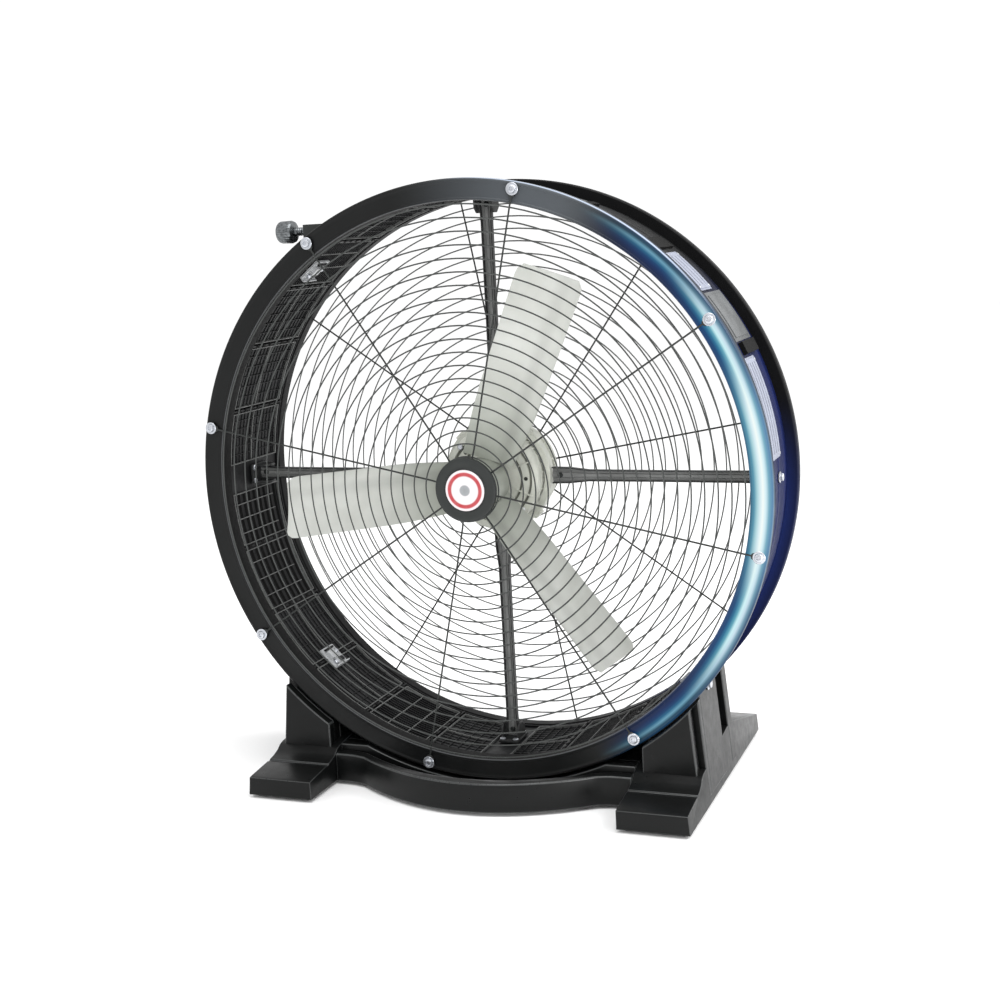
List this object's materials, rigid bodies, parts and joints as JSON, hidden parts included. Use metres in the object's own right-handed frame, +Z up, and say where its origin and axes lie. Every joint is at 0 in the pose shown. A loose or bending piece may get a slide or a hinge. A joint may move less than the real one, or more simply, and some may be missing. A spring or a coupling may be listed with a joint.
{
  "type": "drum floor fan",
  "caption": "Large round drum fan bolted into a low moulded floor stand, with wire guards, a motor on radial struts, a bladed rotor and a speed knob.",
  "frame": {"origin": "on the floor, under the middle of the whole fan's outline", "axes": "+Z up, the fan blows towards -Y, +X to the right as seen from the front"},
  "size_m": [1.1, 0.571, 1.123],
  "materials": {
    "stand_plastic": "moulded, slightly grained",
    "drum_plastic": "moulded, satin",
    "ring_paint": "satin black, a blue lit band on the right side",
    "guard_wire": "dark coated wire",
    "strut_paint": "satin black paint",
    "bolt_zinc": "bright plated",
    "motor_paint": "pale grey enamel",
    "blade_plastic": "pale grey, satin",
    "steel": "turned steel",
    "motor_stack": "laminated stack and windings, as one metal",
    "pad_rubber": "matt rubber",
    "badge": "plain white with a red edge band",
    "cover_plate": "pale grey plate",
    "knob_metal": "knurled metal",
    "black_plastic": "satin black moulding"
  },
  "bodies": {
    "fan_frame": {"stand_left": "stand_plastic", "stand_right": "stand_plastic", "front_panel": "stand_plastic", "stand_deck": "stand_plastic", "rear_panel": "stand_plastic", "pad_front_left": "pad_rubber", "pad_front_right": "pad_rubber", "pad_rear_left": "pad_rubber", "pad_rear_right": "pad_rubber", "clamp_bolt_left": "bolt_zinc", "clamp_bolt_right": "bolt_zinc", "drum_shell": "drum_plastic", "front_ring": "ring_paint", "rear_ring": "ring_paint", "ring_bolt_1": "bolt_zinc", "ring_bolt_2": "bolt_zinc", "ring_bolt_3": "bolt_zinc", "ring_bolt_4": "bolt_zinc", "ring_bolt_5": "bolt_zinc", "ring_bolt_6": "bolt_zinc", "ring_bolt_7": "bolt_zinc", "ring_bolt_8": "bolt_zinc", "front_guard": "guard_wire", "rear_guard": "guard_wire", "guard_hub": "black_plastic", "hub_badge": "badge", "rear_guard_hub": "black_plastic", "strut_12": "strut_paint", "strut_bracket_12": "strut_paint", "strut_bolt_12": "bolt_zinc", "strut_3": "strut_paint", "strut_bracket_3": "strut_paint", "strut_bolt_3": "bolt_zinc", "strut_6": "strut_paint", "strut_bracket_6": "strut_paint", "strut_bolt_6": "bolt_zinc", "strut_9": "strut_paint", "strut_bracket_9": "strut_paint", "strut_bolt_9": "bolt_zinc", "motor_mount_ring": "strut_paint", "motor_housing": "motor_paint", "motor_front_bell": "motor_paint", "motor_rear_bell": "motor_paint", "front_bearing": "steel", "rear_bearing": "steel", "stator": "motor_stack", "terminal_cover": "cover_plate", "access_cover": "cover_plate", "cable_gland": "black_plastic", "control_housing": "black_plastic", "control_bushing": "black_plastic"},
    "rotor": {"motor_shaft": "steel", "rotor_core": "motor_stack", "rotor_hub": "blade_plastic", "hub_cap": "blade_plastic", "blade_1": "blade_plastic", "blade_2": "blade_plastic", "blade_3": "blade_plastic"},
    "knob": {"speed_knob": "knob_metal", "knob_spindle": "steel"}
  },
  "joints": [
    {"name": "rotor_spin", "type": "hinge", "parent": "fan_frame", "child": "rotor", "pos_m": [0, -0.094, 0.573], "axis": [0, 1, 0], "continuous": true},
    {"name": "knob_turn", "type": "hinge", "parent": "fan_frame", "child": "knob", "pos_m": [-0.3425, -0.099, 1.045], "axis": [1, 0, 0], "range_deg": [0, 300]}
  ]
}
